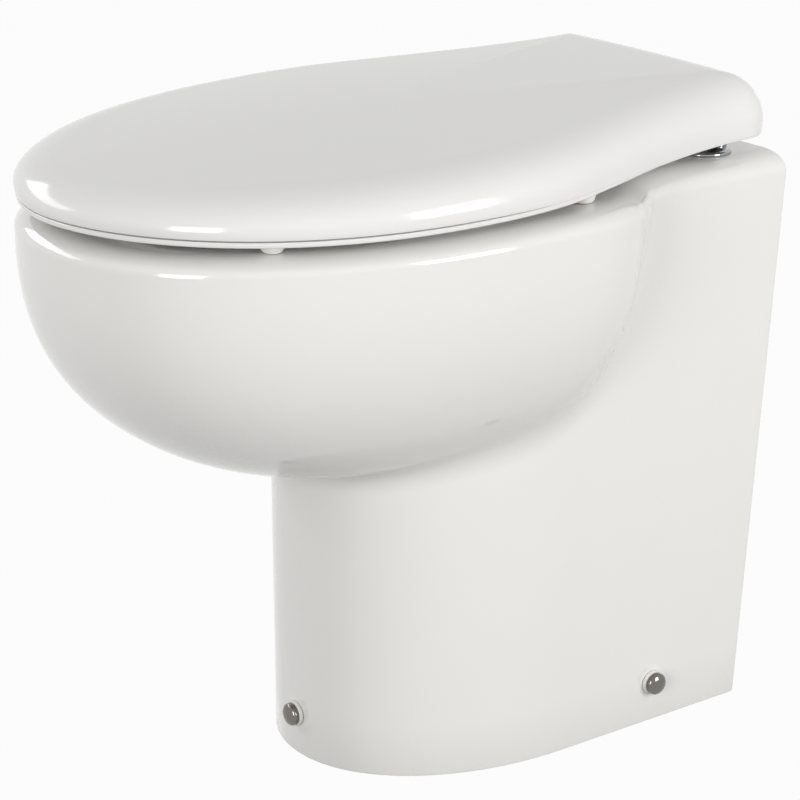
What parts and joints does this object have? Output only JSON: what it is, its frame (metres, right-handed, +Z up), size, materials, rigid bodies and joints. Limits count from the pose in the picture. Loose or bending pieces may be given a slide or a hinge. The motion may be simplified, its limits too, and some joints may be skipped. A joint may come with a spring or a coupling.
{
  "type": "electric marine toilet",
  "caption": "Floor-standing white china toilet for a boat, with an overhanging oval bowl, a wrap-over hinged lid and seat, and a macerator pump in its open back.",
  "frame": {"origin": "centre of the bounding box, at floor level", "axes": "+Z up, -Y towards the front of the bowl, +X to the right of a viewer who looks along +Y at the front"},
  "size_m": [0.3362, 0.515, 0.4552],
  "materials": {
    "glaze": "glossy white glaze on vitreous china",
    "seat_plastic": "glossy white moulded thermoset",
    "buffer_rubber": "soft off-white",
    "black_rubber": "matt black",
    "hose_rubber": "matt grey",
    "chrome": "polished chrome plate",
    "steel": "satin stainless steel",
    "black_plastic": "satin black moulded plastic",
    "white_plastic": "satin white moulded plastic",
    "motor_paint": "semi-gloss white paint"
  },
  "bodies": {
    "bowl": {"china_bowl": "glaze", "hinge_disc_left": "chrome", "hinge_pillar_left": "chrome", "hinge_pin_left": "steel", "hinge_stud_left": "steel", "hinge_washer_left": "black_rubber", "hinge_nut_left": "white_plastic", "hinge_disc_right": "chrome", "hinge_pillar_right": "chrome", "hinge_pin_right": "steel", "hinge_stud_right": "steel", "hinge_washer_right": "black_rubber", "hinge_nut_right": "white_plastic", "fixing_collar_left": "white_plastic", "fixing_screw_left": "steel", "fixing_cap_left": "chrome", "floor_bracket_left": "steel", "fixing_collar_right": "white_plastic", "fixing_screw_right": "steel", "fixing_cap_right": "chrome", "floor_bracket_right": "steel", "fixing_collar_front": "white_plastic", "fixing_screw_front": "steel", "fixing_cap_front": "chrome", "floor_bracket_front": "steel", "pump_housing": "black_plastic", "wear_plate": "steel", "motor_body": "motor_paint", "motor_end_cap": "black_plastic", "cable_gland": "black_plastic", "pump_base": "steel", "pump_pad_left": "black_rubber", "pump_pad_right": "black_rubber", "outlet_boot": "black_rubber", "boot_clamp_upper": "steel", "boot_clamp_lower": "steel", "discharge_elbow": "black_plastic", "discharge_tail": "black_plastic", "duckbill_valve": "black_rubber", "discharge_band": "steel", "valve_body": "white_plastic", "valve_coil": "black_plastic", "valve_bracket": "steel", "rinse_inlet": "white_plastic", "rinse_hose": "hose_rubber"},
    "seat": {"seat_ring": "seat_plastic", "seat_buffer_front_left": "buffer_rubber", "seat_buffer_front_right": "buffer_rubber", "seat_buffer_rear_left": "buffer_rubber", "seat_buffer_rear_right": "buffer_rubber"},
    "lid": {"lid": "seat_plastic", "lid_buffer_left": "buffer_rubber", "lid_buffer_right": "buffer_rubber"},
    "rotor": {"pump_shaft": "steel", "cutter_blade": "steel", "impeller": "black_plastic"},
    "plunger": {"valve_plunger": "steel"},
    "diaphragm": {"valve_diaphragm": "black_rubber"}
  },
  "joints": [
    {"name": "seat_hinge", "type": "hinge", "parent": "bowl", "child": "seat", "pos_m": [0, 0.224, 0.432], "axis": [-1, 0, 0], "range_deg": [0, 95]},
    {"name": "lid_hinge", "type": "hinge", "parent": "seat", "child": "lid", "pos_m": [0, 0.224, 0.432], "axis": [1, 0, 0], "range_deg": [-95, 0]},
    {"name": "pump_rotor", "type": "hinge", "parent": "bowl", "child": "rotor", "pos_m": [0, 0.12, 0.06], "axis": [0, 1, 0], "continuous": true},
    {"name": "valve_plunger", "type": "slide", "parent": "bowl", "child": "plunger", "axis": [-1, 0, 0], "range_m": [0, 0.0025], "stiffness_N_per_m": 200, "springref_m": -0.002},
    {"name": "valve_diaphragm", "type": "slide", "parent": "bowl", "child": "diaphragm", "axis": [-1, 0, 0], "range_m": [0, 0.0015], "stiffness_N_per_m": 150, "springref_m": -0.001}
  ]
}
